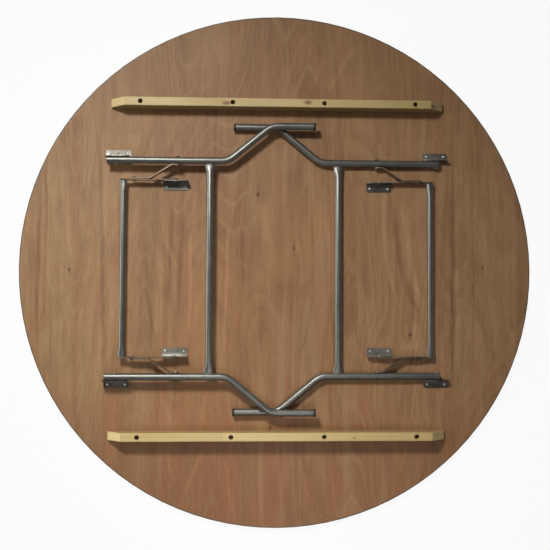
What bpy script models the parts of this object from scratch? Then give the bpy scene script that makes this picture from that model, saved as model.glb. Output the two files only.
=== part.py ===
"""Round folding banquet table, folded flat and lying on its finished face.

A plywood top carries two pine battens and two leg frames of bent steel tube. Each frame turns on a
pair of hinge brackets and is held open by a knee brace: two arms joined by a crossbar, and two leg
links that fold back beside the arms. The left frame folds down last, on top of the right one.

Metres, +Z up. The finished face lies on z = 0 and the underside, with the ironwork, faces up.
X runs along the folded legs, and the rear side of the table is at +Y.
"""
import math

import bmesh
import bpy
from mathutils import Matrix, Vector

# Gaps between separate pieces
SEAT = 0.0003                      # under a piece that is screwed or welded on
RUNNING_FIT = 0.0003               # beside a piece that turns

# Plywood top and its edge band
TOP_DIAMETER = 1.829
TOP_THICKNESS = 0.018
EDGE_BAND_THICKNESS = 0.003
EDGE_BAND_ROUND = 0.0015
EDGE_BARB_DEPTH = 0.009
EDGE_BARB_THICKNESS = 0.0016

# Pine battens, clear of the folded feet
BATTEN_WIDTH = 0.030
BATTEN_HEIGHT = 0.056              # just proud of the folded leg frames
BATTEN_FROM_FOOT = 0.0816          # centre line to centre line
BATTEN_RIM_MARGIN = 0.068          # outer corner to the rim
BATTEN_BEVEL_LENGTH = 0.0505
BATTEN_END_HEIGHT = 0.012
BATTEN_EASE = 0.0015
BATTEN_HOLE_COUNT = 4
BATTEN_HOLE_INSET = 0.1067
COUNTERBORE_DIAMETER = 0.017
COUNTERBORE_DEPTH = 0.036
SCREW_HOLE_DIAMETER = 0.0055

# Leg frames
STANDING_HEIGHT = 0.762
HINGE_FROM_CENTRE = 0.568
TUBE_DIAMETER = 0.0254
TUBE_WALL = 0.0015
LEG_SPACING = 0.760
FOOT_SPLAY = 0.126                 # how far a foot stands outside its leg
SPLAY_RUN = 0.154
FOOT_LENGTH = 0.157
BEND_RADIUS = 0.068
FOLD_GAP = 0.004                   # folded right frame to underside
CROSSING_GAP = 0.0006              # folded left frame to right frame
OPEN_END_GAP = 0.007               # tube end to underside, leg open
SPREADER_TO_BEND = 0.064
SPREADER_END_WIDTH = 0.033
SPREADER_END_DEPTH = 0.010
FOOT_CAP_THICKNESS = 0.008
FOOT_CAP_OVERHANG = 0.0008
FOOT_CAP_ROUND = 0.0015
FOOT_CAP_PLUG = 0.022

# Brackets bent from strip
BRACKET_THICKNESS = 0.003
BRACKET_BEND_RADIUS = 0.002
BRACKET_CORNER_RADIUS = 0.005
BRACKET_LIP = 0.010                # wall above the pivot
HINGE_BRACKET_LENGTH = 0.088
HINGE_FLANGE_WIDTH = 0.0285
HINGE_HOLE_COUNT = 3
HINGE_HOLE_SPACING = 0.031
BRACE_BRACKET_LENGTH = 0.0895
BRACE_FLANGE_WIDTH = 0.031
BRACE_HOLE_COUNT = 2
BRACE_HOLE_SPACING = 0.066
FLANGE_HOLE_TO_EDGE = 0.0115

# Knee brace, placed along the leg from its hinge
BRACE_PIVOT_FROM_HINGE = 0.204
LINK_PIVOT_FROM_HINGE = 0.212
BRACE_INSET = 0.069                # leg axis to the brace bracket's wall
BAR_WIDTH = 0.020
BAR_THICKNESS = 0.004
CROSSBAR_FROM_HINGE = 0.0212
LEFT_BRACE_DROP = 0.013            # brace pivot below the hinge of the upper frame
RIGHT_BRACE_DROP = 0.0
CROSSBAR_DIAMETER = 0.020
CROSSBAR_END_WIDTH = 0.025
CROSSBAR_END_DEPTH = 0.012
PINCH_LENGTH = 0.040               # pressed end of a tube, with its taper
PRESSED_FLAT = 0.018
JOGGLE_FROM_KNEE = 0.060
LINK_FLAT = 0.020                  # joggle to leg rivet
STOP_STUD_FROM_KNEE = 0.043
STOP_STUD_DIAMETER = 0.009
STOP_STUD_HEIGHT = 0.003

# Rivets
RIVET_DIAMETER = 0.008
RIVET_HEAD_DIAMETER = 0.014
RIVET_HEAD_HEIGHT = 0.003

# Smoothness of round work
RIM_SIDES = 96
TUBE_SIDES = 16
RIVET_SIDES = 12
BEND_STEPS = 4
CORNER_STEPS = 2
SHARP_ANGLE = math.radians(32)

# Places that follow from the sizes above
TUBE_RADIUS = TUBE_DIAMETER / 2
LEG_Y = LEG_SPACING / 2
FOOT_Y = LEG_Y + FOOT_SPLAY
BRACE_Y = LEG_Y - BRACE_INSET
RIGHT_PIVOT_HEIGHT = TUBE_RADIUS + FOLD_GAP
LEFT_PIVOT_HEIGHT = RIGHT_PIVOT_HEIGHT + TUBE_DIAMETER + CROSSING_GAP
FRAME_LENGTH = STANDING_HEIGHT - TOP_THICKNESS - OPEN_END_GAP
LEG_STRAIGHT = FRAME_LENGTH - SPLAY_RUN - FOOT_LENGTH
ARM_Y = BRACE_Y + RUNNING_FIT + BAR_THICKNESS / 2
LINK_Y = ARM_Y + BAR_THICKNESS + RUNNING_FIT
LINK_LEG_Y = LEG_Y - TUBE_RADIUS - RUNNING_FIT - BAR_THICKNESS / 2
RIVET_HOLE_DIAMETER = RIVET_DIAMETER + 2 * RUNNING_FIT

X_AXIS = Vector((1, 0, 0))
Y_AXIS = Vector((0, 1, 0))
Z_AXIS = Vector((0, 0, 1))


def clear_scene():
    for item in list(bpy.data.objects):
        bpy.data.objects.remove(item, do_unlink=True)


def finish(name, colour, roughness, metallic):
    material = bpy.data.materials.new(name)
    material.use_nodes = True
    shader = material.node_tree.nodes["Principled BSDF"]
    shader.inputs["Base Color"].default_value = (*colour, 1)
    shader.inputs["Roughness"].default_value = roughness
    shader.inputs["Metallic"].default_value = metallic
    return material


def axis_empty(name, parent, location, turn=0.0, tilt=0.0):
    empty = bpy.data.objects.new(name, None)
    empty.parent = parent
    empty.location = location
    empty.rotation_euler = (0, tilt, turn)
    bpy.context.scene.collection.objects.link(empty)
    return empty


def add_object(name, bm, parent, location):
    mesh = bpy.data.meshes.new(name)
    bm.to_mesh(mesh)
    bm.free()
    item = bpy.data.objects.new(name, mesh)
    item.parent = parent
    item.location = location
    bpy.context.scene.collection.objects.link(item)
    return item


def add_piece(name, bm, material, parent=None, location=(0, 0, 0)):
    piece = add_object(name, bm, parent, location)
    piece.data.materials.append(material)
    piece.data.shade_smooth()
    piece.data.set_sharp_from_angle(angle=SHARP_ANGLE)
    return piece


def shape_with(piece, bm, operation="DIFFERENCE"):
    """Cut a piece with a hidden tool, or keep only what lies inside the tool."""
    tool = add_object(f"{piece.name}_{operation.lower()}_tool", bm, piece.parent, piece.location)
    tool.hide_render = True
    tool.display_type = "WIRE"
    boolean = piece.modifiers.new(operation.title(), "BOOLEAN")
    boolean.operation = operation
    boolean.object = tool


def skin(rings, closed=False):
    """Solid through a row of rings of equal count. A closed row runs back to its first ring."""
    bm = bmesh.new()
    rows = [[bm.verts.new(point) for point in ring] for ring in rings]
    spans = list(zip(rows, rows[1:]))
    if closed:
        spans.append((rows[-1], rows[0]))
    else:
        bm.faces.new(rows[0])
        bm.faces.new(rows[-1])
    for near, far in spans:
        for i in range(len(near)):
            j = (i + 1) % len(near)
            bm.faces.new((near[i], near[j], far[j], far[i]))
    bmesh.ops.recalc_face_normals(bm, faces=bm.faces)
    return bm


def join(solids):
    """One mesh from several that don't touch."""
    joined = bmesh.new()
    for bm in solids:
        mesh = bpy.data.meshes.new("part_of_tool")
        bm.to_mesh(mesh)
        bm.free()
        joined.from_mesh(mesh)
        bpy.data.meshes.remove(mesh)
    return joined


def oval(centre, across, up, sides):
    """Ring of points round a centre, from its two half axes."""
    ring = []
    for i in range(sides):
        angle = 2 * math.pi * i / sides
        ring.append(centre + across * math.cos(angle) + up * math.sin(angle))
    return ring


def turned(profile, axis, sides, closed=False, centre=Vector((0, 0, 0))):
    """Lathe work: the profile is a row of (place along the axis, radius)."""
    across = Y_AXIS if axis is X_AXIS else X_AXIS
    up = axis.cross(across)
    rings = [oval(centre + axis * place, across * radius, up * radius, sides)
             for place, radius in profile]
    return skin(rings, closed)


def drill(axis, diameter, start, end, centre=Vector((0, 0, 0))):
    return turned([(start, diameter / 2), (end, diameter / 2)], axis, RIVET_SIDES, centre=centre)


def arc(centre, radius, start, end, steps):
    """Points (first, second) along an arc in a plane, from one angle to another."""
    points = []
    for i in range(steps + 1):
        angle = start + (end - start) * i / steps
        points.append((centre[0] + radius * math.cos(angle), centre[1] + radius * math.sin(angle)))
    return points


def prism(outline, start, end):
    """Extrude an outline of (x, z) points along Y."""
    return skin([[Vector((x, y, z)) for x, z in outline] for y in (start, end)])


def stadium(start, end, width):
    """Outline of a flat bar with round ends, centred on two points of the X axis."""
    half = width / 2
    quarter = math.pi / 2
    return (arc((end, 0), half, -quarter, quarter, 2 * CORNER_STEPS)
            + arc((start, 0), half, quarter, 3 * quarter, 2 * CORNER_STEPS))


def even_places(count, spacing):
    return [(i - (count - 1) / 2) * spacing for i in range(count)]


def build_top(plywood, edge_vinyl):
    band_inner = TOP_DIAMETER / 2 - EDGE_BAND_THICKNESS
    ply_radius = band_inner - SEAT
    middle = TOP_THICKNESS / 2
    kerf_half = EDGE_BARB_THICKNESS / 2 + RUNNING_FIT
    kerf_radius = ply_radius - EDGE_BARB_DEPTH - RUNNING_FIT
    sheet = [(0, ply_radius), (middle - kerf_half, ply_radius), (middle - kerf_half, kerf_radius),
             (middle + kerf_half, kerf_radius), (middle + kerf_half, ply_radius),
             (TOP_THICKNESS, ply_radius)]
    add_piece("table_top", turned(sheet, Z_AXIS, RIM_SIDES), plywood)
    add_piece("edge_band", turned(edge_band_section(band_inner), Z_AXIS, RIM_SIDES, closed=True), edge_vinyl)


def edge_band_section(band_inner):
    """T-shaped moulding: a rounded face with a barb pressed into the kerf of the plywood."""
    outer = TOP_DIAMETER / 2
    low = SEAT
    high = TOP_THICKNESS - SEAT
    barb_tip = band_inner - SEAT - EDGE_BARB_DEPTH
    barb_half = EDGE_BARB_THICKNESS / 2
    middle = TOP_THICKNESS / 2
    rounded = EDGE_BAND_ROUND
    face = (arc((low + rounded, outer - rounded), rounded, math.pi, math.pi / 2, CORNER_STEPS)
            + arc((high - rounded, outer - rounded), rounded, math.pi / 2, 0, CORNER_STEPS))
    barb = [(middle + barb_half, band_inner), (middle + barb_half, barb_tip),
            (middle - barb_half, barb_tip), (middle - barb_half, band_inner)]
    return face + [(high, band_inner)] + barb + [(low, band_inner)]


def build_batten(name, side, pine):
    centre_y = FOOT_Y + BATTEN_FROM_FOOT
    corner_y = centre_y + BATTEN_WIDTH / 2
    half = math.sqrt((TOP_DIAMETER / 2 - BATTEN_RIM_MARGIN) ** 2 - corner_y ** 2)
    shoulder = half - BATTEN_BEVEL_LENGTH
    outline = [(-half, 0), (half, 0), (half, BATTEN_END_HEIGHT), (shoulder, BATTEN_HEIGHT),
               (-shoulder, BATTEN_HEIGHT), (-half, BATTEN_END_HEIGHT)]
    bm = prism(outline, -BATTEN_WIDTH / 2, BATTEN_WIDTH / 2)
    long_edges = [edge for edge in bm.edges
                  if all(vert.co.z > BATTEN_END_HEIGHT / 2 for vert in edge.verts)
                  and edge.verts[0].co.y == edge.verts[1].co.y
                  and edge.verts[0].co.x != edge.verts[1].co.x]
    bmesh.ops.bevel(bm, geom=long_edges, offset=BATTEN_EASE, segments=1, affect="EDGES")
    batten = add_piece(name, bm, pine, location=(0, side * centre_y, TOP_THICKNESS + SEAT))
    spacing = 2 * (half - BATTEN_HOLE_INSET) / (BATTEN_HOLE_COUNT - 1)
    step = BATTEN_HEIGHT - COUNTERBORE_DEPTH
    stepped = [(-SEAT, SCREW_HOLE_DIAMETER / 2), (step, SCREW_HOLE_DIAMETER / 2),
               (step, COUNTERBORE_DIAMETER / 2), (BATTEN_HEIGHT + SEAT, COUNTERBORE_DIAMETER / 2)]
    shape_with(batten, join([turned(stepped, Z_AXIS, TUBE_SIDES, centre=X_AXIS * x)
                             for x in even_places(BATTEN_HOLE_COUNT, spacing)]))


def bent_path(corners, radius):
    """Stations (point, direction) along a tube bent in plan at each inner corner."""
    first = (corners[1] - corners[0]).normalized()
    stations = [(corners[0], first)]
    for before, corner, after in zip(corners, corners[1:], corners[2:]):
        inward = (corner - before).normalized()
        outward = (after - corner).normalized()
        turn = math.atan2(inward.cross(outward).z, inward.dot(outward))
        tangent_length = radius * math.tan(abs(turn) / 2)
        to_centre = Z_AXIS.cross(inward) * math.copysign(radius, turn)
        start = corner - inward * tangent_length
        for i in range(BEND_STEPS + 1):
            swing = Matrix.Rotation(turn * i / BEND_STEPS, 3, "Z")
            stations.append((start + to_centre - swing @ to_centre, swing @ inward))
    last = (corners[-1] - corners[-2]).normalized()
    stations.append((corners[-1], last))
    return stations


def hollow(outer_rings, inner_rings):
    return skin(outer_rings + inner_rings[::-1], closed=True)


def bent_tube(corners):
    stations = bent_path(corners, BEND_RADIUS)

    def rings(radius):
        return [oval(point, Z_AXIS.cross(direction) * radius, Z_AXIS * radius, TUBE_SIDES)
                for point, direction in stations]

    return hollow(rings(TUBE_RADIUS), rings(TUBE_RADIUS - TUBE_WALL))


def pinched_tube(half_length, diameter, end_width, end_depth):
    """Straight tube along Y whose ends are pressed flat, wide in X and thin in Z."""
    round_half = half_length - PINCH_LENGTH
    flat_half = half_length - PRESSED_FLAT
    shapes = [(half_length, end_width, end_depth), (flat_half, end_width, end_depth),
              (round_half, diameter, diameter)]
    sections = [(-place, wide, deep) for place, wide, deep in shapes]
    sections += [(place, wide, deep) for place, wide, deep in shapes[::-1]]

    def rings(inset):
        return [oval(Y_AXIS * place, X_AXIS * (wide / 2 - inset), Z_AXIS * (deep / 2 - inset), TUBE_SIDES)
                for place, wide, deep in sections]

    return hollow(rings(0), rings(TUBE_WALL))


def rivet(name, grip_start, grip_end, material, parent, location, side, heads=(True, True)):
    """Rivet along Y outward from its location, gripping from one place to another."""
    shank = RIVET_DIAMETER / 2
    head = RIVET_HEAD_DIAMETER / 2
    crown = (head + shank) / 2
    profile = [(grip_start, shank), (grip_end, shank)]
    if heads[0]:
        profile = [(grip_start - RIVET_HEAD_HEIGHT, crown), (grip_start, head)] + profile
    if heads[1]:
        profile += [(grip_end, head), (grip_end + RIVET_HEAD_HEIGHT, crown)]
    outward = [(side * place, radius) for place, radius in profile]
    add_piece(name, turned(outward, Y_AXIS, RIVET_SIDES), material, parent, location)


def strip_bracket(length, flange_width, wall_height, flange_side):
    """L bent from strip: the wall stands at y = 0 and the flange runs out to one side."""
    thick = BRACKET_THICKNESS
    outer = BRACKET_BEND_RADIUS + thick
    section = [(0, wall_height)]
    section += arc((outer, outer), outer, math.pi, 1.5 * math.pi, CORNER_STEPS)
    section += [(flange_width, 0), (flange_width, thick)]
    section += arc((outer, outer), BRACKET_BEND_RADIUS, 1.5 * math.pi, math.pi, CORNER_STEPS)
    section += [(thick, wall_height)]
    bm = skin([[Vector((x, flange_side * y, z)) for y, z in section] for x in (-length / 2, length / 2)])
    corners = [edge for edge in bm.edges
               if edge.verts[0].co.x == edge.verts[1].co.x
               and (all(abs(vert.co.y) > flange_width - thick / 2 for vert in edge.verts)
                    or all(vert.co.z > wall_height - thick / 2 for vert in edge.verts))]
    bmesh.ops.bevel(bm, geom=corners, offset=BRACKET_CORNER_RADIUS, segments=CORNER_STEPS, affect="EDGES",
                    profile=0.5)
    return bm


def bracket_holes(pivot_height, flange_width, count, spacing, flange_side):
    through = BRACKET_THICKNESS + SEAT
    pivot = drill(Y_AXIS, RIVET_HOLE_DIAMETER, -flange_side * SEAT, flange_side * through,
                  Z_AXIS * pivot_height)
    hole_y = flange_side * (flange_width - FLANGE_HOLE_TO_EDGE)
    screws = [drill(Z_AXIS, SCREW_HOLE_DIAMETER, -SEAT, through, Vector((x, hole_y, 0)))
              for x in even_places(count, spacing)]
    return join([pivot] + screws)


def build_brackets(label, side, pivot_height, brace_height, base, zinc):
    hinge_pivot = pivot_height - SEAT
    hinge_wall = hinge_pivot + BRACKET_LIP
    hinge = add_piece(f"{label}_hinge_bracket",
                      strip_bracket(HINGE_BRACKET_LENGTH, HINGE_FLANGE_WIDTH, hinge_wall, side), zinc, base,
                      (0, side * (LEG_Y + TUBE_RADIUS + RUNNING_FIT), SEAT))
    shape_with(hinge, bracket_holes(hinge_pivot, HINGE_FLANGE_WIDTH, HINGE_HOLE_COUNT, HINGE_HOLE_SPACING,
                                    side))
    brace_pivot = brace_height - SEAT
    brace_wall = brace_pivot + BRACKET_LIP
    brace = add_piece(f"{label}_brace_bracket",
                      strip_bracket(BRACE_BRACKET_LENGTH, BRACE_FLANGE_WIDTH, brace_wall, -side), zinc, base,
                      (BRACE_PIVOT_FROM_HINGE, side * BRACE_Y, SEAT))
    shape_with(brace, bracket_holes(brace_pivot, BRACE_FLANGE_WIDTH, BRACE_HOLE_COUNT, BRACE_HOLE_SPACING,
                                    -side))


def build_leg(label, side, pivot_height, leg_axis, paint, zinc, rubber):
    """One bent tube of a leg frame with its foot cap and rivets, on the hinge axis."""
    hinge_end = OPEN_END_GAP - pivot_height
    foot_tip = hinge_end + FRAME_LENGTH
    tube_tip = foot_tip - FOOT_CAP_THICKNESS - SEAT
    bend = hinge_end + LEG_STRAIGHT
    splay = side * FOOT_SPLAY
    corners = [Vector(point) for point in ((hinge_end, 0, 0), (bend, 0, 0), (bend + SPLAY_RUN, splay, 0),
                                           (tube_tip, splay, 0))]
    place = (0, side * LEG_Y, 0)
    tube = add_piece(f"{label}_leg_tube", bent_tube(corners), paint, leg_axis, place)
    shape_with(tube, join([drill(Y_AXIS, RIVET_HOLE_DIAMETER, -TUBE_DIAMETER, TUBE_DIAMETER, X_AXIS * along)
                           for along in (0, LINK_PIVOT_FROM_HINGE)]))

    plug = TUBE_RADIUS - TUBE_WALL - RUNNING_FIT
    flange = TUBE_RADIUS + FOOT_CAP_OVERHANG
    cap = [(tube_tip - FOOT_CAP_PLUG, plug), (tube_tip + SEAT, plug), (tube_tip + SEAT, flange),
           (foot_tip - FOOT_CAP_ROUND, flange), (foot_tip, flange - FOOT_CAP_ROUND)]
    add_piece(f"{label}_foot_cap", turned(cap, X_AXIS, TUBE_SIDES), rubber, leg_axis, (0, side * FOOT_Y, 0))

    inner_face = -TUBE_RADIUS - RUNNING_FIT
    bracket_face = TUBE_RADIUS + 2 * RUNNING_FIT + BRACKET_THICKNESS
    rivet(f"{label}_hinge_rivet", inner_face, bracket_face, zinc, leg_axis, place, side)
    link_face = inner_face - BAR_THICKNESS - RUNNING_FIT
    rivet(f"{label}_link_rivet", link_face, TUBE_RADIUS + RUNNING_FIT, zinc, leg_axis,
          (LINK_PIVOT_FROM_HINGE, side * LEG_Y, 0), side)


def build_spreader(unit, pivot_height, leg_axis, paint):
    """Tube with flattened ends, coped to fit round the two legs and welded there."""
    along = OPEN_END_GAP - pivot_height + LEG_STRAIGHT - SPREADER_TO_BEND
    reach = LEG_Y - TUBE_RADIUS / 2
    spreader = add_piece(f"{unit}_spreader",
                         pinched_tube(reach, TUBE_DIAMETER, SPREADER_END_WIDTH, SPREADER_END_DEPTH),
                         paint, leg_axis, (along, 0, 0))
    cope = TUBE_RADIUS + SEAT
    shape_with(spreader, join([turned([(-SPREADER_END_WIDTH, cope), (SPREADER_END_WIDTH, cope)], X_AXIS,
                                      TUBE_SIDES, centre=Y_AXIS * side * LEG_Y) for side in (1, -1)]))


def knee_from_hinge(drop):
    """Knee place that puts arm and link in one straight line when the leg stands at a right angle."""
    straight = math.hypot(BRACE_PIVOT_FROM_HINGE, LINK_PIVOT_FROM_HINGE + drop)
    rest = straight - BRACE_PIVOT_FROM_HINGE
    return (LINK_PIVOT_FROM_HINGE ** 2 + drop ** 2 - rest ** 2) / (2 * (LINK_PIVOT_FROM_HINGE + rest))


def build_arm(label, side, knee, brace_axis, zinc):
    """Flat bar on edge from the brace bracket, past the knee, to the crossbar."""
    half = BAR_THICKNESS / 2
    tail = CROSSBAR_FROM_HINGE - BRACE_PIVOT_FROM_HINGE
    arm = add_piece(f"{label}_arm", prism(stadium(tail, 0, BAR_WIDTH), -half, half), zinc,
                    brace_axis, (0, side * ARM_Y, 0))
    shape_with(arm, join([drill(Y_AXIS, RIVET_HOLE_DIAMETER, -BAR_THICKNESS, BAR_THICKNESS, X_AXIS * along)
                          for along in (0, knee)]))
    bracket_face = -half - 2 * RUNNING_FIT - BRACKET_THICKNESS
    rivet(f"{label}_brace_rivet", bracket_face, half + RUNNING_FIT, zinc, brace_axis,
          (0, side * ARM_Y, 0), side)
    rivet(f"{label}_knee_rivet", -half - RUNNING_FIT, half, zinc, brace_axis, (knee, side * ARM_Y, 0),
          side, heads=(True, False))


def build_crossbar(unit, brace_axis, paint):
    along = CROSSBAR_FROM_HINGE - BRACE_PIVOT_FROM_HINGE
    reach = ARM_Y - BAR_THICKNESS / 2 - SEAT
    add_piece(f"{unit}_crossbar",
              pinched_tube(reach, CROSSBAR_DIAMETER, CROSSBAR_END_WIDTH, CROSSBAR_END_DEPTH),
              paint, brace_axis, (along, 0, 0))


def joggled_plan(knee, start, end, offset, side):
    """Plan of a strip that steps sideways by the offset between two straight ends."""
    half = BAR_THICKNESS / 2
    first = knee + JOGGLE_FROM_KNEE
    second = -LINK_FLAT
    slope = math.atan2(offset, second - first)
    mitre = half * math.tan(slope / 2)
    outer = [(start, half), (first - mitre, half), (second - mitre, offset + half), (end, offset + half)]
    inner = [(end, offset - half), (second + mitre, offset - half), (first + mitre, -half), (start, -half)]
    return [(x, side * y) for x, y in outer + inner]


def build_link(label, side, knee, link_axis, zinc):
    """Flat bar on edge from the leg to the knee, stepped inwards to lie beside the arm."""
    plan = joggled_plan(knee, knee - BAR_WIDTH, BAR_WIDTH, LINK_LEG_Y - LINK_Y, side)
    strip = skin([[Vector((x, y, z)) for x, y in plan] for z in (-BAR_WIDTH, BAR_WIDTH)])
    link = add_piece(f"{label}_link", strip, zinc, link_axis, (0, side * LINK_Y, 0))
    reach = LEG_Y - LINK_Y
    shape_with(link, prism(stadium(knee, 0, BAR_WIDTH), -reach, reach), "INTERSECT")
    shape_with(link, join([drill(Y_AXIS, RIVET_HOLE_DIAMETER, -reach, reach, X_AXIS * along)
                           for along in (knee, 0)]))
    half = BAR_THICKNESS / 2
    rivet(f"{label}_knee_head", -half, half + RUNNING_FIT, zinc, link_axis, (knee, side * LINK_Y, 0),
          side, heads=(False, True))
    stud_face = half + SEAT
    stud_radius = STOP_STUD_DIAMETER / 2
    stud_crown = stud_radius - STOP_STUD_HEIGHT / 3
    stud = [(side * stud_face, stud_radius), (side * (stud_face + STOP_STUD_HEIGHT / 2), stud_radius),
            (side * (stud_face + STOP_STUD_HEIGHT), stud_crown)]
    add_piece(f"{label}_stop_stud", turned(stud, Y_AXIS, RIVET_SIDES), zinc, link_axis,
              (knee + STOP_STUD_FROM_KNEE, side * LINK_Y, 0))


def build_unit(unit, turn, pivot_height, drop, paint, zinc, rubber):
    """A leg frame and its brace. Local +X runs from the hinge to the middle of the table."""
    centre = Vector((-HINGE_FROM_CENTRE * math.cos(turn), 0, TOP_THICKNESS))
    brace_height = pivot_height - drop
    knee = knee_from_hinge(drop)
    link_run = LINK_PIVOT_FROM_HINGE - knee
    base = axis_empty(f"{unit}_base", None, centre, turn)
    leg_axis = axis_empty(f"{unit}_leg_axis", base, (0, 0, pivot_height))
    brace_axis = axis_empty(f"{unit}_brace_axis", base, (BRACE_PIVOT_FROM_HINGE, 0, brace_height))
    link_axis = axis_empty(f"{unit}_link_axis", leg_axis, (LINK_PIVOT_FROM_HINGE, 0, 0),
                           tilt=-math.atan2(drop, link_run))
    for side in (1, -1):
        label = f"{unit}_rear" if side * math.cos(turn) > 0 else f"{unit}_front"
        build_brackets(label, side, pivot_height, brace_height, base, zinc)
        build_leg(label, side, pivot_height, leg_axis, paint, zinc, rubber)
        build_arm(label, side, knee - BRACE_PIVOT_FROM_HINGE, brace_axis, zinc)
        build_link(label, side, -math.hypot(link_run, drop), link_axis, zinc)
    build_spreader(unit, pivot_height, leg_axis, paint)
    build_crossbar(unit, brace_axis, paint)


def build_table():
    clear_scene()
    plywood = finish("okoume_plywood", (0.28, 0.15, 0.075), 0.55, 0.0)
    edge_vinyl = finish("edge_vinyl", (0.06, 0.045, 0.035), 0.5, 0.0)
    pine = finish("pine", (0.62, 0.47, 0.24), 0.6, 0.0)
    paint = finish("grey_paint", (0.20, 0.20, 0.18), 0.4, 0.6)
    zinc = finish("zinc_plate", (0.55, 0.54, 0.50), 0.35, 1.0)
    rubber = finish("black_rubber", (0.012, 0.012, 0.011), 0.6, 0.0)
    build_top(plywood, edge_vinyl)
    build_batten("rear_batten", 1, pine)
    build_batten("front_batten", -1, pine)
    build_unit("left", 0.0, LEFT_PIVOT_HEIGHT, LEFT_BRACE_DROP, paint, zinc, rubber)
    build_unit("right", math.pi, RIGHT_PIVOT_HEIGHT, RIGHT_BRACE_DROP, paint, zinc, rubber)


build_table()
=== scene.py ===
import math

import bmesh
import bpy
from mathutils import Matrix, Vector


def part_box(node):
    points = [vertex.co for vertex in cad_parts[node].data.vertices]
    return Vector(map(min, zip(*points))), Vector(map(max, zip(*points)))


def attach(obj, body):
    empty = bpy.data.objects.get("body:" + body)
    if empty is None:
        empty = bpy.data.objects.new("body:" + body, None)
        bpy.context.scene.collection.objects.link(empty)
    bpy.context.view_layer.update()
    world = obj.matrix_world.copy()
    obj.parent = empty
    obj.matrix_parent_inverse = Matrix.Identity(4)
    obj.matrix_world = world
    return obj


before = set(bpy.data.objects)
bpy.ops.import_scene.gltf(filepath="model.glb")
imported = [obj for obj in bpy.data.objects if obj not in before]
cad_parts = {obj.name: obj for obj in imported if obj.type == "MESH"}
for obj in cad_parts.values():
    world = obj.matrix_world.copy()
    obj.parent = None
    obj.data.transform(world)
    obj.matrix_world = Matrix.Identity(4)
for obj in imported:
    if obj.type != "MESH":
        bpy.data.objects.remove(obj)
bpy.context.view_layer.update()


# The studio: the table lies folded and face down on a pale round floor that ends in a low wall far
# off. The key lamp hangs at the upper left, a long lamp stands low at the left, a weak one hangs
# overhead and a narrow one in front, in a grey room.
def add_node(tree, kind, inputs=None, **settings):
    made = tree.nodes.new(kind)
    for name, setting in settings.items():
        setattr(made, name, setting)
    for name, source in (inputs or {}).items():
        if isinstance(source, bpy.types.NodeSocket):
            tree.links.new(source, made.inputs[name])
        else:
            made.inputs[name].default_value = source
    return made


def value(tree, operation, *inputs):
    made = add_node(tree, "ShaderNodeMath", dict(enumerate(inputs)), operation=operation)
    return made.outputs[0]


def new_material(name):
    material = bpy.data.materials.new(name)
    material.use_nodes = True
    tree = material.node_tree
    return material, tree, tree.nodes["Principled BSDF"]


def add_object(name, bm, smooth=True):
    mesh = bpy.data.meshes.new(name)
    bm.to_mesh(mesh)
    bm.free()
    if smooth:
        mesh.shade_smooth()
    made = bpy.data.objects.new(name, mesh)
    bpy.context.scene.collection.objects.link(made)
    return made


FLOOR_RADIUS = 60.0
FLOOR_SIDES = 96
FLOOR_DROP = 0.0006
FLOOR_GREY = (0.85, 0.85, 0.85, 1)
GLOW_WHITE = (1, 1, 1, 1)
GLOW_SHARE = 0.93
WALL_HEIGHT = 11.0


def studio_floor():
    bm = bmesh.new()
    bmesh.ops.create_circle(bm, cap_ends=True, segments=FLOOR_SIDES, radius=FLOOR_RADIUS)
    edges = [edge for edge in bm.edges if edge.is_boundary]
    wall = bmesh.ops.extrude_edge_only(bm, edges=edges)
    for corner in wall["geom"]:
        if isinstance(corner, bmesh.types.BMVert):
            corner.co.z = WALL_HEIGHT
    floor = add_object("studio_floor", bm, smooth=False)
    floor.location.z = -FLOOR_DROP
    material, tree, _ = new_material("white_floor")
    tree.nodes.clear()
    rays = add_node(tree, "ShaderNodeLightPath").outputs
    seen = value(tree, "MAXIMUM", rays["Is Camera Ray"], rays["Is Glossy Ray"])
    seen = value(tree, "MAXIMUM", seen, rays["Is Transmission Ray"])
    share = value(tree, "MULTIPLY", seen, GLOW_SHARE)
    matt = add_node(tree, "ShaderNodeBsdfDiffuse", {"Color": FLOOR_GREY}).outputs[0]
    glow = add_node(tree, "ShaderNodeEmission", {"Color": GLOW_WHITE, "Strength": 1.0}).outputs[0]
    mixed = add_node(tree, "ShaderNodeMixShader", {0: share, 1: matt, 2: glow}).outputs[0]
    add_node(tree, "ShaderNodeOutputMaterial", {"Surface": mixed})
    floor.data.materials.append(material)


def area_lamp(name, location, aim, width, height, spread, power, colour):
    lamp = bpy.data.lights.new(name, "AREA")
    lamp.shape = "ELLIPSE"
    lamp.size = width
    lamp.size_y = height
    lamp.spread = math.radians(spread)
    lamp.energy = power
    lamp.color = colour
    made = bpy.data.objects.new(name, lamp)
    made.location = location
    made.rotation_euler = (Vector(aim) - Vector(location)).to_track_quat("-Z", "Y").to_euler()
    bpy.context.scene.collection.objects.link(made)


studio_floor()
area_lamp("key_lamp", location=(-0.85, 1.50, 2.20), aim=(-0.05, -0.8, 0), width=0.55, height=0.55,
          spread=90.0, power=18.5, colour=(1.0, 0.97, 0.92))
area_lamp("top_lamp", location=(0.0, 0.0, 3.3), aim=(0, -0.1, 0), width=1.2, height=1.2,
          spread=180.0, power=2.2, colour=(1.0, 0.97, 0.93))
area_lamp("left_lamp", location=(-4.5, 0.0, 1.1), aim=(0, 0, 0), width=3.6, height=1.4,
          spread=180.0, power=92.0, colour=(1.0, 0.96, 0.92))
area_lamp("front_lamp", location=(0.0, -1.3, 2.0), aim=(0, -0.8, 0), width=0.9, height=0.9,
          spread=60.0, power=1.35, colour=(1.0, 0.96, 0.91))
ROOM_GREY = (0.080, 0.071, 0.072, 1)
world = bpy.data.worlds.new("grey_room")
world.use_nodes = True
world.node_tree.nodes["Background"].inputs["Color"].default_value = ROOM_GREY
bpy.context.scene.world = world
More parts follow.
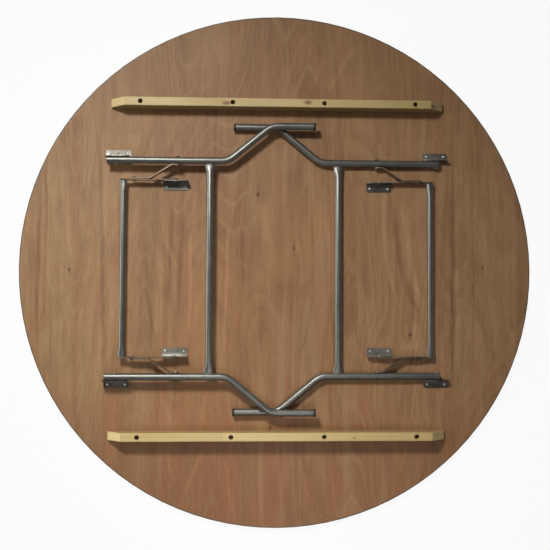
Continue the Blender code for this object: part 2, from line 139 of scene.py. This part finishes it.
bpy.context.scene.view_settings.view_transform = "Standard"

# The camera looks down on the underside from about three metres, a little to the lower left of the
# middle. Its place, turn and lens are fitted to the round rim and the screw holes of the battens.
UNDERSIDE = 0.018
CAMERA_X, CAMERA_Y, CAMERA_HEIGHT = -0.1312, -0.1345, 2.9941
yaw, pitch, roll = math.radians(2.51), math.radians(-2.57), math.radians(-0.20)
turn = Matrix.Rotation(roll, 3, "Z") @ Matrix.Rotation(pitch, 3, "X") @ Matrix.Rotation(yaw, 3, "Y")
lens = bpy.data.cameras.new("camera")
lens.sensor_width = 36.0
lens.lens = 54.90
lens.shift_x = -0.0047
lens.shift_y = -0.0106
camera = bpy.data.objects.new("camera", lens)
stand = Matrix.Translation((CAMERA_X, CAMERA_Y, CAMERA_HEIGHT + UNDERSIDE))
camera.matrix_world = stand @ turn.transposed().to_4x4()
bpy.context.scene.collection.objects.link(camera)
bpy.context.scene.camera = camera


# The top is one round sheet of plywood. Its rotary-cut face veneer has tall flame figure, fine
# pores and a few pin knots. The underside is bare and the finished face is lacquered.
def smooth_cad(name, material, angle=32.0):
    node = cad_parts[name]
    stored = node.data.attributes.get("custom_normal")
    if stored:
        node.data.attributes.remove(stored)
    node.data.shade_smooth()
    weld = node.modifiers.new("Weld", "WELD")
    weld.merge_threshold = 0.00001
    split = node.modifiers.new("Edges", "EDGE_SPLIT")
    split.split_angle = math.radians(angle)
    node.data.materials.clear()
    node.data.materials.append(material)


def object_place(tree):
    return add_node(tree, "ShaderNodeTexCoord").outputs["Object"]


def axes_of(tree, place):
    return add_node(tree, "ShaderNodeSeparateXYZ", {"Vector": place}).outputs


def vector(tree, operation, *inputs):
    made = add_node(tree, "ShaderNodeVectorMath", dict(enumerate(inputs)), operation=operation)
    return made.outputs[0]


def noise(tree, place, scale, detail, rough):
    scaled = vector(tree, "MULTIPLY", place, scale)
    made = add_node(tree, "ShaderNodeTexNoise", {
        "Vector": scaled, "Scale": 1.0, "Detail": detail, "Roughness": rough})
    return made.outputs["Fac"]


def ramp(tree, factor, low, high, strength=1.0):
    made = add_node(tree, "ShaderNodeMapRange", {
        "Value": factor, "From Min": low, "From Max": high, "To Max": strength},
        interpolation_type="SMOOTHSTEP")
    return made.outputs["Result"]


def oval_mask(tree, place, centre, shape, radius):
    flat = vector(tree, "MULTIPLY", vector(tree, "SUBTRACT", place, centre), shape)
    near = add_node(tree, "ShaderNodeVectorMath", {0: flat}, operation="LENGTH").outputs["Value"]
    return ramp(tree, near, radius, radius * 0.2)


def mix_colour(tree, factor, first, second):
    made = add_node(tree, "ShaderNodeMix", {0: factor, 6: first, 7: second}, data_type="RGBA")
    return made.outputs[2]


def stain(tree, colour, layers):
    for mask, tint in layers:
        colour = mix_colour(tree, mask, colour, tint)
    return colour


def add_bump(tree, shader, height, strength, distance):
    bump = add_node(tree, "ShaderNodeBump", {
        "Height": height, "Strength": strength, "Distance": distance})
    tree.links.new(bump.outputs["Normal"], shader.inputs["Normal"])


def new_group(name, inputs, outputs):
    group = bpy.data.node_groups.new(name, "ShaderNodeTree")
    for label, kind in inputs:
        group.interface.new_socket(label, in_out="INPUT", socket_type=kind)
    for label in outputs:
        group.interface.new_socket(label, in_out="OUTPUT", socket_type="NodeSocketFloat")
    given = group.nodes.new("NodeGroupInput").outputs
    return group, given, group.nodes.new("NodeGroupOutput").inputs


def wood_grain_group():
    """Grain along Y: growth lines that wander, streaks, fibre and pores, all as masks."""
    group, given, out = new_group(
        "wood_grain",
        [("Place", "NodeSocketVector"), ("Rings", "NodeSocketFloat"),
         ("Wander", "NodeSocketFloat"), ("Taper", "NodeSocketFloat")],
        ["Growth", "Line", "Streak", "Fibre", "Pore"])
    place = given["Place"]
    axes = axes_of(group, place)
    drift = noise(group, place, (3.4, 0.22, 3.4), 1.0, 0.4)
    sway = noise(group, place, (12.0, 0.6, 12.0), 2.0, 0.5)
    field = value(group, "MULTIPLY_ADD", sway, 0.03, drift)
    field = value(group, "MULTIPLY", field, given["Wander"])
    field = value(group, "MULTIPLY_ADD", axes[0], given["Rings"], field)
    field = value(group, "MULTIPLY_ADD", axes[1], given["Taper"], field)
    ring = value(group, "FRACT", field)
    fade = ramp(group, noise(group, place, (5.0, 1.6, 5.0), 2.0, 0.5), 0.36, 0.62)
    growth = value(group, "MULTIPLY", ramp(group, ring, 0.0, 0.90), ramp(group, ring, 1.0, 0.94))
    sub_ring = value(group, "FRACT", value(group, "MULTIPLY", field, 3.0))
    line = value(group, "MULTIPLY", ramp(group, sub_ring, 0.66, 0.90),
                 ramp(group, sub_ring, 1.0, 0.92))
    group.links.new(growth, out["Growth"])
    group.links.new(value(group, "MULTIPLY", line, fade), out["Line"])
    group.links.new(noise(group, place, (52.0, 0.8, 52.0), 3.0, 0.62), out["Streak"])
    group.links.new(noise(group, place, (240.0, 4.5, 240.0), 2.0, 0.6), out["Fibre"])
    pore = noise(group, place, (760.0, 30.0, 760.0), 1.0, 0.5)
    group.links.new(ramp(group, pore, 0.60, 0.72), out["Pore"])
    return group


def grain(tree, place, rings, wander, taper):
    return add_node(tree, "ShaderNodeGroup", {
        "Place": place, "Rings": rings, "Wander": wander, "Taper": taper},
        node_tree=wood_grain).outputs


wood_grain = wood_grain_group()
KNOTS = ((-0.071, 0.268, 0.0092), (0.058, 0.075, 0.0072), (0.477, -0.233, 0.0095),
         (-0.0245, -0.562, 0.0075), (-0.738, -0.006, 0.0062), (0.742, 0.007, 0.0056))
# Long growth lines: x and y of the upper end, x and y of the foot, bend, half width and strength.
DARK_LINES = (
    (-0.847, 0.455, -0.849, -0.289, 1.0, 0.008, 0.6),
    (-0.823, 0.455, -0.820, -0.289, 1.0, 0.008, 0.5),
    (-0.647, 0.530, -0.610, -0.464, 0.6, 0.013, 0.7),
    (-0.325, 0.217, -0.360, -0.236, 0.6, 0.012, 0.6),
    (-0.367, 0.238, -0.389, -0.165, 0.5, 0.011, 0.5),
    (-0.469, 0.116, -0.440, -0.271, 2.0, 0.013, 0.5),
    (0.427, 0.252, 0.535, -0.191, 3.2, 0.016, 0.6),
    (0.637, 0.529, 0.627, -0.466, 1.0, 0.009, 0.7),
    (0.123, 0.232, 0.131, -0.110, 1.0, 0.008, 0.5),
    (0.131, -0.074, 0.081, -0.309, 1.4, 0.009, 0.6),
    (0.174, 0.124, 0.210, -0.288, 1.8, 0.009, 0.6),
    (-0.128, 0.168, -0.123, -0.075, 1.0, 0.010, 0.5))
PALE_LINES = (
    (-0.835, 0.455, -0.834, -0.289, 1.0, 0.008, 0.4),
    (-0.417, 0.238, -0.426, -0.282, 1.0, 0.022, 0.5),
    (-0.306, 0.153, -0.317, -0.253, 0.7, 0.009, 0.5),
    (-0.154, 0.276, -0.196, -0.331, 0.6, 0.010, 0.5),
    (0.384, 0.310, 0.459, -0.177, 3.4, 0.013, 0.45),
    (0.460, 0.304, 0.546, -0.158, 3.0, 0.016, 0.40),
    (0.279, 0.266, 0.300, -0.288, 0.7, 0.009, 0.4),
    (0.655, 0.474, 0.647, -0.287, 1.0, 0.009, 0.4),
    (0.017, 0.897, 0.043, 0.634, 0.7, 0.010, 0.45),
    (0.129, 0.826, 0.068, 0.634, 1.0, 0.011, 0.35),
    (0.191, 0.827, 0.112, 0.635, 1.0, 0.011, 0.35),
    (0.283, 0.821, 0.166, 0.625, 1.0, 0.012, 0.35),
    (-0.262, 0.855, -0.278, 0.629, 1.0, 0.009, 0.3),
    (-0.204, 0.871, -0.213, 0.630, 1.0, 0.009, 0.3),
    (-0.180, -0.669, -0.150, -0.892, 1.3, 0.010, 0.3),
    (0.007, -0.690, 0.022, -0.900, 1.0, 0.010, 0.3),
    (0.068, -0.649, 0.125, -0.845, 1.2, 0.011, 0.3),
    (-0.258, -0.633, -0.337, -0.807, 1.0, 0.014, 0.35),
    (-0.057, 0.248, -0.038, 0.083, 1.5, 0.022, 0.5),
    (0.073, 0.120, 0.091, -0.074, 1.0, 0.010, 0.4),
    (0.482, -0.186, 0.482, -0.296, 1.0, 0.038, 0.5),
    (-0.403, -0.451, -0.378, -0.552, 1.5, 0.011, 0.35),
    (-0.252, -0.437, -0.265, -0.549, 1.0, 0.011, 0.35))
DARK_LINE_TINT = (0.55, 0.46, 0.40)
PALE_LINE_TINT = (1.55, 1.66, 1.78)


def growth_lines(tree, across, along, lines):
    """Long lines down the veneer, soft at their sides and ends, as one mask."""
    mask = 0.0
    for top_x, top_y, foot_x, foot_y, bend, half_width, strength in lines:
        down = add_node(tree, "ShaderNodeMapRange", {
            "Value": along, "From Min": top_y, "From Max": foot_y}).outputs["Result"]
        bent = down if bend == 1.0 else value(tree, "POWER", down, bend)
        line_x = value(tree, "MULTIPLY_ADD", bent, foot_x - top_x, top_x)
        off = value(tree, "ABSOLUTE", value(tree, "SUBTRACT", across, line_x))
        ends = ramp(tree, value(tree, "PINGPONG", down, 0.5), 0.0, 0.2, strength)
        line = value(tree, "MULTIPLY", ends, ramp(tree, off, half_width, 0.15 * half_width))
        mask = value(tree, "MAXIMUM", mask, line)
    return mask


def veneer_material():
    material, tree, shader = new_material("okoume_veneer")
    place = object_place(tree)
    axes = axes_of(tree, place)
    knots, tails = 0.0, 0.0
    for x, y, size in KNOTS:
        centre = (x, y, UNDERSIDE)
        knot = oval_mask(tree, place, centre, (1.0, 0.75, 0.0), size)
        tail = oval_mask(tree, place, centre, (1.0, 0.17, 0.0), 1.2 * size)
        knots = value(tree, "MAXIMUM", knots, knot)
        tails = value(tree, "MAXIMUM", tails, tail)
    figure = grain(tree, place, 0.9, 12.0, 2.2)
    flame = ramp(tree, noise(tree, place, (10.0, 1.9, 10.0), 2.5, 0.55), 0.53, 0.66)
    hue = noise(tree, place, (5.0, 1.9, 5.0), 3.5, 0.62)
    cloud = noise(tree, place, (26.0, 9.0, 26.0), 3.0, 0.6)
    band = noise(tree, place, (21.0, 0.7, 21.0), 2.5, 0.6)
    bow = value(tree, "MULTIPLY", noise(tree, place, (2.4, 2.6, 2.4), 1.0, 0.5), 0.11)
    bow = add_node(tree, "ShaderNodeCombineXYZ", {0: bow}).outputs[0]
    bowed = vector(tree, "ADD", place, bow)
    thread = noise(tree, bowed, (105.0, 1.5, 105.0), 2.0, 0.55)
    fleck = ramp(tree, noise(tree, place, (330.0, 90.0, 330.0), 1.0, 0.4), 0.66, 0.74)
    heart = noise(tree, bowed, (4.4, 1.25, 4.4), 1.2, 0.4)
    heart = value(tree, "FRACT", value(tree, "MULTIPLY", heart, 15.0))
    shown = ramp(tree, noise(tree, place, (3.0, 2.0, 3.0), 2.0, 0.5), 0.40, 0.58)
    shown = value(tree, "MULTIPLY", shown, ramp(tree, axes[0], -0.66, -0.42))
    oval = value(tree, "MULTIPLY", ramp(tree, heart, 0.25, 0.93), ramp(tree, heart, 1.0, 0.95))
    oval = value(tree, "MULTIPLY", shown, oval)
    blush = noise(tree, bowed, (34.0, 1.1, 34.0), 2.0, 0.55)
    low_blush = value(tree, "MULTIPLY", ramp(tree, axes[1], -0.10, -0.75),
                      ramp(tree, blush, 0.44, 0.62, 0.40))
    wobble = noise(tree, place, (5.0, 7.0, 5.0), 2.0, 0.5)
    across = value(tree, "MULTIPLY_ADD", wobble, 0.024, axes[0])
    across = value(tree, "SUBTRACT", across, 0.012)
    broken = ramp(tree, noise(tree, place, (30.0, 3.0, 30.0), 2.0, 0.5), 0.20, 0.55)
    dark_line = growth_lines(tree, across, axes[1], DARK_LINES)
    dark_line = value(tree, "MULTIPLY", dark_line, broken)
    pale_line = growth_lines(tree, across, axes[1], PALE_LINES)
    pale_line = value(tree, "MULTIPLY", pale_line, broken)

    wood = mix_colour(tree, ramp(tree, hue, 0.34, 0.66),
                      (0.345, 0.184, 0.072, 1), (0.262, 0.124, 0.048, 1))
    # Painted light and shade in the first four layers: lighter towards the left and right, darker
    # towards the rear and the front, where the veneer also turns redder.
    wood = stain(tree, wood, (
        (ramp(tree, axes[0], -0.20, -0.75, 0.75), (0.432, 0.272, 0.133, 1)),
        (ramp(tree, axes[0], 0.10, 0.55, 0.75), (0.400, 0.246, 0.122, 1)),
        (ramp(tree, axes[1], -0.30, -0.80, 0.62), (0.245, 0.102, 0.039, 1)),
        (ramp(tree, axes[1], 0.25, 0.75, 0.45), (0.246, 0.133, 0.055, 1)),
        (ramp(tree, cloud, 0.38, 0.70, 0.40), (0.210, 0.105, 0.044, 1)),
        (value(tree, "MULTIPLY", figure["Growth"], 0.20), (0.185, 0.090, 0.037, 1)),
        (ramp(tree, band, 0.52, 0.74, 0.38), (0.205, 0.100, 0.042, 1)),
        (ramp(tree, band, 0.48, 0.28, 0.30), (0.405, 0.255, 0.124, 1)),
        (ramp(tree, blush, 0.50, 0.68, 0.42), (0.300, 0.128, 0.050, 1)),
        (low_blush, (0.285, 0.098, 0.040, 1)),
        (value(tree, "MULTIPLY", oval, 0.38), (0.190, 0.085, 0.034, 1))))
    wood = mix_colour(tree, dark_line, wood, vector(tree, "MULTIPLY", wood, DARK_LINE_TINT))
    wood = mix_colour(tree, pale_line, wood, vector(tree, "MULTIPLY", wood, PALE_LINE_TINT))
    wood = stain(tree, wood, (
        (ramp(tree, figure["Streak"], 0.40, 0.68, 0.24), (0.215, 0.106, 0.044, 1)),
        (value(tree, "MULTIPLY", flame, 0.22), (0.420, 0.268, 0.138, 1)),
        (value(tree, "MULTIPLY", figure["Line"], 0.22), (0.430, 0.285, 0.150, 1)),
        (ramp(tree, thread, 0.60, 0.72, 0.18), (0.455, 0.305, 0.165, 1)),
        (ramp(tree, thread, 0.38, 0.30, 0.18), (0.150, 0.072, 0.030, 1)),
        (ramp(tree, figure["Fibre"], 0.44, 0.74, 0.15), (0.430, 0.262, 0.130, 1)),
        (ramp(tree, figure["Fibre"], 0.46, 0.26, 0.16), (0.165, 0.080, 0.034, 1)),
        (value(tree, "MULTIPLY", figure["Pore"], 0.30), (0.110, 0.052, 0.022, 1)),
        (value(tree, "MULTIPLY", fleck, 0.25), (0.50, 0.36, 0.22, 1)),
        (value(tree, "MULTIPLY", tails, 0.35), (0.150, 0.066, 0.028, 1)),
        (value(tree, "MULTIPLY", knots, 0.80), (0.078, 0.033, 0.012, 1))))
    tree.links.new(wood, shader.inputs["Base Color"])

    rough = value(tree, "ADD", ramp(tree, axes[2], 0.004, 0.014, 0.30), 0.28)
    rough = value(tree, "MULTIPLY_ADD", figure["Pore"], 0.10, rough)
    tree.links.new(rough, shader.inputs["Roughness"])
    height = value(tree, "MULTIPLY", figure["Fibre"], 0.6)
    height = value(tree, "SUBTRACT", height, figure["Pore"])
    add_bump(tree, shader, height, 0.25, 0.0004)
    return material


smooth_cad("table_top", veneer_material())


# The rim carries a T-moulding of dark vinyl, pressed into a kerf in the edge of the plywood.
# It is scuffed along its middle from rolling the table on edge.
def edge_vinyl_material():
    material, tree, shader = new_material("edge_vinyl")
    place = object_place(tree)
    height = axes_of(tree, place)[2]
    mottle = noise(tree, place, (30.0, 30.0, 90.0), 3.0, 0.6)
    middle = value(tree, "ABSOLUTE", value(tree, "SUBTRACT", height, UNDERSIDE / 2))
    scuff = value(tree, "MULTIPLY", ramp(tree, middle, 0.008, 0.002),
                  ramp(tree, mottle, 0.48, 0.68))
    colour = mix_colour(tree, value(tree, "MULTIPLY", scuff, 0.5),
                        (0.070, 0.060, 0.050, 1), (0.16, 0.14, 0.12, 1))
    tree.links.new(colour, shader.inputs["Base Color"])
    tree.links.new(value(tree, "MULTIPLY_ADD", scuff, 0.3, 0.42), shader.inputs["Roughness"])
    return material


smooth_cad("edge_band", edge_vinyl_material())


# Two battens of planed pine are screwed to the underside, so that stacked tables
# don't rest on the folded legs. Their ends are bevelled, and the screws sit deep in counterbores.
# Painted shade darkens their side faces and right ends, and the front batten is painted lighter.
BATTEN_KNOTS = ((0.104, 0.590, 0.012), (0.555, 0.583, 0.011), (-0.185, 0.584, 0.012),
                (0.268, -0.592, 0.004))


def pine_material(name, pale, deep, end_shade_and_joint_tone):
    material, tree, shader = new_material(name)
    place = object_place(tree)
    length = axes_of(tree, place)[0]
    along_x = add_node(tree, "ShaderNodeMapping", {
        "Vector": place, "Rotation": (0, 0, math.pi / 2)}).outputs[0]
    knots = 0.0
    for x, y, size in BATTEN_KNOTS:
        knot = oval_mask(tree, place, (x, y, 0), (0.55, 1.0, 0.0), size)
        knots = value(tree, "MAXIMUM", knots, knot)
    figure = grain(tree, along_x, 110.0, 14.0, 0.0)
    blotch = noise(tree, place, (5.0, 30.0, 30.0), 3.0, 0.6)
    joint = value(tree, "MULTIPLY", ramp(tree, length, -0.40, -0.20),
                  ramp(tree, length, -0.190, -0.192, 0.45))
    # Painted shade: faces that stand upright, found by their normal, are darkened.
    facing = axes_of(tree, add_node(tree, "ShaderNodeNewGeometry").outputs["Normal"])[2]
    painted_side_shade = ramp(tree, value(tree, "ABSOLUTE", facing), 0.45, 0.10, 0.75)
    wood = mix_colour(tree, ramp(tree, blotch, 0.35, 0.72), pale, deep)
    wood = stain(tree, wood, (
        # Painted shade: the pine darkens towards its right end. The same tone also darkens the wood
        # before the joint.
        (ramp(tree, length, -0.30, 0.60, 0.8), end_shade_and_joint_tone),
        (joint, end_shade_and_joint_tone),
        (value(tree, "MULTIPLY", figure["Growth"], 0.30), (0.42, 0.29, 0.10, 1)),
        (value(tree, "MULTIPLY", figure["Line"], 0.22), (0.36, 0.23, 0.08, 1)),
        (ramp(tree, figure["Fibre"], 0.45, 0.75, 0.25), (0.66, 0.54, 0.29, 1)),
        (painted_side_shade, (0.30, 0.19, 0.075, 1)),
        (value(tree, "MULTIPLY", knots, 0.90), (0.19, 0.085, 0.025, 1))))
    tree.links.new(wood, shader.inputs["Base Color"])
    rough = value(tree, "MULTIPLY_ADD", figure["Fibre"], 0.15, 0.50)
    tree.links.new(rough, shader.inputs["Roughness"])
    add_bump(tree, shader, figure["Fibre"], 0.2, 0.0003)
    return material


smooth_cad("rear_batten", pine_material(
    "rear_pine", (0.59, 0.48, 0.25, 1), (0.50, 0.39, 0.18, 1), (0.40, 0.29, 0.105, 1)))
# Painted light: the front batten gets a lighter copy of the rear batten's pine.
smooth_cad("front_batten", pine_material(
    "front_pine_painted_lighter", (0.70, 0.56, 0.27, 1), (0.62, 0.48, 0.21, 1), (0.52, 0.39, 0.16, 1)))


# Each screw has a zinc-plated pan head with a cross recess. Two hold each bracket, and the middle
# hole of a hinge bracket stays empty. Each batten has four, sunk in its counterbores.
def metal_wear_group():
    """Clouding, fine flake and short scratches, as masks."""
    group, given, out = new_group(
        "metal_wear", [("Place", "NodeSocketVector")], ["Cloud", "Flake", "Scratch"])
    place = given["Place"]
    group.links.new(noise(group, place, (16.0, 16.0, 16.0), 4.0, 0.6), out["Cloud"])
    group.links.new(noise(group, place, (900.0, 900.0, 900.0), 1.0, 0.5), out["Flake"])
    scratch = noise(group, place, (70.0, 70.0, 420.0), 4.0, 0.7)
    group.links.new(ramp(group, scratch, 0.65, 0.72), out["Scratch"])
    return group


def wear(tree):
    place = object_place(tree)
    return add_node(tree, "ShaderNodeGroup", {"Place": place}, node_tree=metal_wear).outputs


def zinc_material(name, dull, bright, smoothest):
    material, tree, shader = new_material(name)
    worn = wear(tree)
    colour = mix_colour(tree, ramp(tree, worn["Cloud"], 0.62, 0.38), dull, bright)
    colour = stain(tree, colour, (
        (ramp(tree, worn["Flake"], 0.45, 0.70, 0.15), (0.62, 0.61, 0.57, 1)),))
    tree.links.new(colour, shader.inputs["Base Color"])
    shader.inputs["Metallic"].default_value = 1.0
    rough = value(tree, "MULTIPLY_ADD", worn["Cloud"], 0.18, smoothest)
    tree.links.new(rough, shader.inputs["Roughness"])
    add_bump(tree, shader, worn["Cloud"], 0.08, 0.0004)
    return material


def screw_mesh(radius, height):
    bm = bmesh.new()
    sides, steps = 40, 10
    rows = []
    for j in range(steps + 1):
        out = j / steps
        row = []
        for i in range(sides):
            angle = 2 * math.pi * i / sides
            x, y = radius * out * math.cos(angle), radius * out * math.sin(angle)
            rise = height * math.sqrt(max(0.0, 1 - out ** 3.2))
            arm, half = 0.66 * radius, 0.15 * radius
            if (abs(x) < arm and abs(y) < half) or (abs(y) < arm and abs(x) < half):
                rise -= 0.55 * height
            row.append(bm.verts.new((x, y, rise)))
        rows.append(row)
    for near, far in zip(rows, rows[1:]):
        for i in range(sides):
            k = (i + 1) % sides
            bm.faces.new((near[i], far[i], far[k], near[k]))
    bm.faces.new(rows[-1][::-1])
    bmesh.ops.remove_doubles(bm, verts=bm.verts, dist=1e-6)
    bmesh.ops.recalc_face_normals(bm, faces=bm.faces)
    mesh = bpy.data.meshes.new("pan_head_screw")
    bm.to_mesh(mesh)
    bm.free()
    mesh.shade_smooth()
    mesh.materials.append(bright_zinc)
    return mesh


def drive_screw(name, mesh, place, angle):
    screw = bpy.data.objects.new(name, mesh)
    screw.location = place
    screw.rotation_euler.z = angle
    bpy.context.scene.collection.objects.link(screw)
    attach(screw, "table")


metal_wear = metal_wear_group()
zinc = zinc_material("dull_zinc", (0.165, 0.158, 0.140, 1), (0.312, 0.302, 0.272, 1), 0.36)
bright_zinc = zinc_material("bright_zinc", (0.66, 0.65, 0.60, 1), (0.86, 0.85, 0.80, 1), 0.26)
SCREW_RADIUS = 0.0043
SCREW_HEIGHT = 0.0026
BATTEN_SCREWS = 4
BATTEN_END_TO_SCREW = 0.1067
COUNTERBORE_DEPTH = 0.036
pan_head = screw_mesh(SCREW_RADIUS, SCREW_HEIGHT)
for side in ("rear", "front"):
    low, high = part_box(f"{side}_batten")
    centre_y = (low.y + high.y) / 2
    outer = high.x - BATTEN_END_TO_SCREW
    for i in range(BATTEN_SCREWS):
        x = -outer + 2 * outer * i / (BATTEN_SCREWS - 1)
        drive_screw(f"{side}_batten_screw_{i + 1}", pan_head,
                    (x, centre_y, high.z - COUNTERBORE_DEPTH), 0.4 + i)


# Hinge and brace brackets are L shapes bent from zinc-plated strip. The leg or the arm turns on a
# rivet through the standing wall, and the flange is screwed to the plywood. Those whose flange
# points to the front get a darker copy of the zinc, which is painted shade.
FLANGE_THICKNESS = 0.003
HOLE_TO_EDGE = 0.0115
HINGE_HOLE_OFFSET = 0.031
BRACE_HOLE_OFFSET = 0.033
# Painted shade: a darker copy of the zinc for brackets whose flange points to the front.
shaded_zinc = zinc_material("shaded_zinc", (0.085, 0.081, 0.074, 1), (0.165, 0.160, 0.148, 1), 0.32)
for unit in ("left", "right"):
    for side, outward in (("rear", 1), ("front", -1)):
        for kind, offset, flange_side in (("hinge", HINGE_HOLE_OFFSET, outward),
                                          ("brace", BRACE_HOLE_OFFSET, -outward)):
            bracket = f"{unit}_{side}_{kind}_bracket"
            smooth_cad(bracket, zinc if flange_side > 0 else shaded_zinc)
            low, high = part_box(bracket)
            edge = high.y if flange_side > 0 else low.y
            y = edge - flange_side * HOLE_TO_EDGE
            for i, along in enumerate((-offset, offset)):
                x = (low.x + high.x) / 2 + along
                drive_screw(f"{bracket}_screw_{i + 1}", pan_head,
                            (x, y, low.z + FLANGE_THICKNESS), 0.9 * i + 0.3 * outward)


# A leg frame is two bent steel tubes joined by a spreader whose flattened ends are coped and
# welded to the legs. The frame is sprayed with grey metallic paint, and its feet have black caps.
def paint_material():
    material, tree, shader = new_material("grey_metallic_paint")
    worn = wear(tree)
    colour = mix_colour(tree, ramp(tree, worn["Cloud"], 0.3, 0.7),
                        (0.150, 0.154, 0.142, 1), (0.190, 0.195, 0.181, 1))
    colour = stain(tree, colour, (
        (ramp(tree, worn["Flake"], 0.4, 0.7, 0.25), (0.26, 0.26, 0.24, 1)),
        (value(tree, "MULTIPLY", worn["Scratch"], 0.5), (0.08, 0.075, 0.065, 1))))
    tree.links.new(colour, shader.inputs["Base Color"])
    shader.inputs["Metallic"].default_value = 0.82
    rough = value(tree, "MULTIPLY_ADD", worn["Cloud"], 0.14, 0.34)
    tree.links.new(rough, shader.inputs["Roughness"])
    add_bump(tree, shader, worn["Flake"], 0.06, 0.0002)
    return material


def rubber_material():
    material, tree, shader = new_material("black_rubber")
    dust = noise(tree, object_place(tree), (160.0, 160.0, 160.0), 4.0, 0.65)
    colour = mix_colour(tree, ramp(tree, dust, 0.45, 0.8),
                        (0.010, 0.010, 0.010, 1), (0.040, 0.037, 0.033, 1))
    tree.links.new(colour, shader.inputs["Base Color"])
    tree.links.new(value(tree, "MULTIPLY_ADD", dust, 0.3, 0.5), shader.inputs["Roughness"])
    add_bump(tree, shader, dust, 0.15, 0.0004)
    return material


TUBE_ANGLE = 40.0
paint = paint_material()
rubber = rubber_material()
for unit in ("left", "right"):
    for side in ("rear", "front"):
        smooth_cad(f"{unit}_{side}_leg_tube", paint, TUBE_ANGLE)
        smooth_cad(f"{unit}_{side}_foot_cap", rubber)
    smooth_cad(f"{unit}_spreader", paint, TUBE_ANGLE)


# Weld beads join each spreader end to its leg, and each crossbar end to its arm. They are short
# runs of overlapping puddles laid round the flattened end, painted over with the frame.
WELD_THICKNESS = 0.0017
SPREADER_WELD = 0.0165, 0.0050
LEG_Y = 0.380
TUBE_RADIUS = 0.0127


def weld_bead(name, body, centre, half_size, outward=1, tube_radius=0.0):
    half_width, half_height = half_size
    bm = bmesh.new()
    steps, sides = 96, 8
    rows = []
    for i in range(steps):
        angle = 2 * math.pi * i / steps
        x, z = half_width * math.cos(angle), half_height * math.sin(angle)
        y = 0.0
        if tube_radius:
            y = outward * (tube_radius - math.sqrt(tube_radius ** 2 - z ** 2))
        uneven = 0.80 + 0.20 * abs(math.sin(9 * angle)) + 0.10 * math.sin(5 * angle + 1)
        puddle = WELD_THICKNESS * uneven
        row = []
        for k in range(sides):
            turn_by = 2 * math.pi * k / sides
            radial = puddle * math.cos(turn_by)
            row.append(bm.verts.new((x + radial * math.cos(angle), y + puddle * math.sin(turn_by),
                                     z + radial * math.sin(angle))))
        rows.append(row)
    for i in range(steps):
        near, far = rows[i], rows[(i + 1) % steps]
        for k in range(sides):
            j = (k + 1) % sides
            bm.faces.new((near[k], far[k], far[j], near[j]))
    bmesh.ops.recalc_face_normals(bm, faces=bm.faces)
    bead = add_object(name, bm)
    bead.location = centre
    bead.data.materials.append(paint)
    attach(bead, body)


for unit in ("left", "right"):
    low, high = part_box(f"{unit}_spreader")
    for side, outward in (("rear", 1), ("front", -1)):
        weld_bead(f"{unit}_{side}_spreader_weld", f"{unit}_leg",
                  ((low.x + high.x) / 2, outward * (LEG_Y - TUBE_RADIUS), (low.z + high.z) / 2),
                  SPREADER_WELD, outward, TUBE_RADIUS)


# A knee brace has two flat-bar arms joined by a crossbar, and two joggled links to the legs. They
# turn on zinc-plated rivets. A stud on each link stops the knee.
CROSSBAR_WELD = 0.0125, 0.0060
aged_zinc = zinc_material("aged_zinc", (0.125, 0.088, 0.060, 1), (0.240, 0.178, 0.125, 1), 0.46)
for unit in ("left", "right"):
    for side in ("rear", "front"):
        for piece in ("arm", "link"):
            smooth_cad(f"{unit}_{side}_{piece}", aged_zinc)
        for piece in ("hinge_rivet", "link_rivet", "brace_rivet", "knee_rivet", "knee_head",
                      "stop_stud"):
            smooth_cad(f"{unit}_{side}_{piece}", zinc)
    smooth_cad(f"{unit}_crossbar", paint, TUBE_ANGLE)
    low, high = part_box(f"{unit}_crossbar")
    for side, end_y in (("rear", high.y), ("front", low.y)):
        weld_bead(f"{unit}_{side}_crossbar_weld", f"{unit}_brace",
                  ((low.x + high.x) / 2, end_y, (low.z + high.z) / 2), CROSSBAR_WELD)
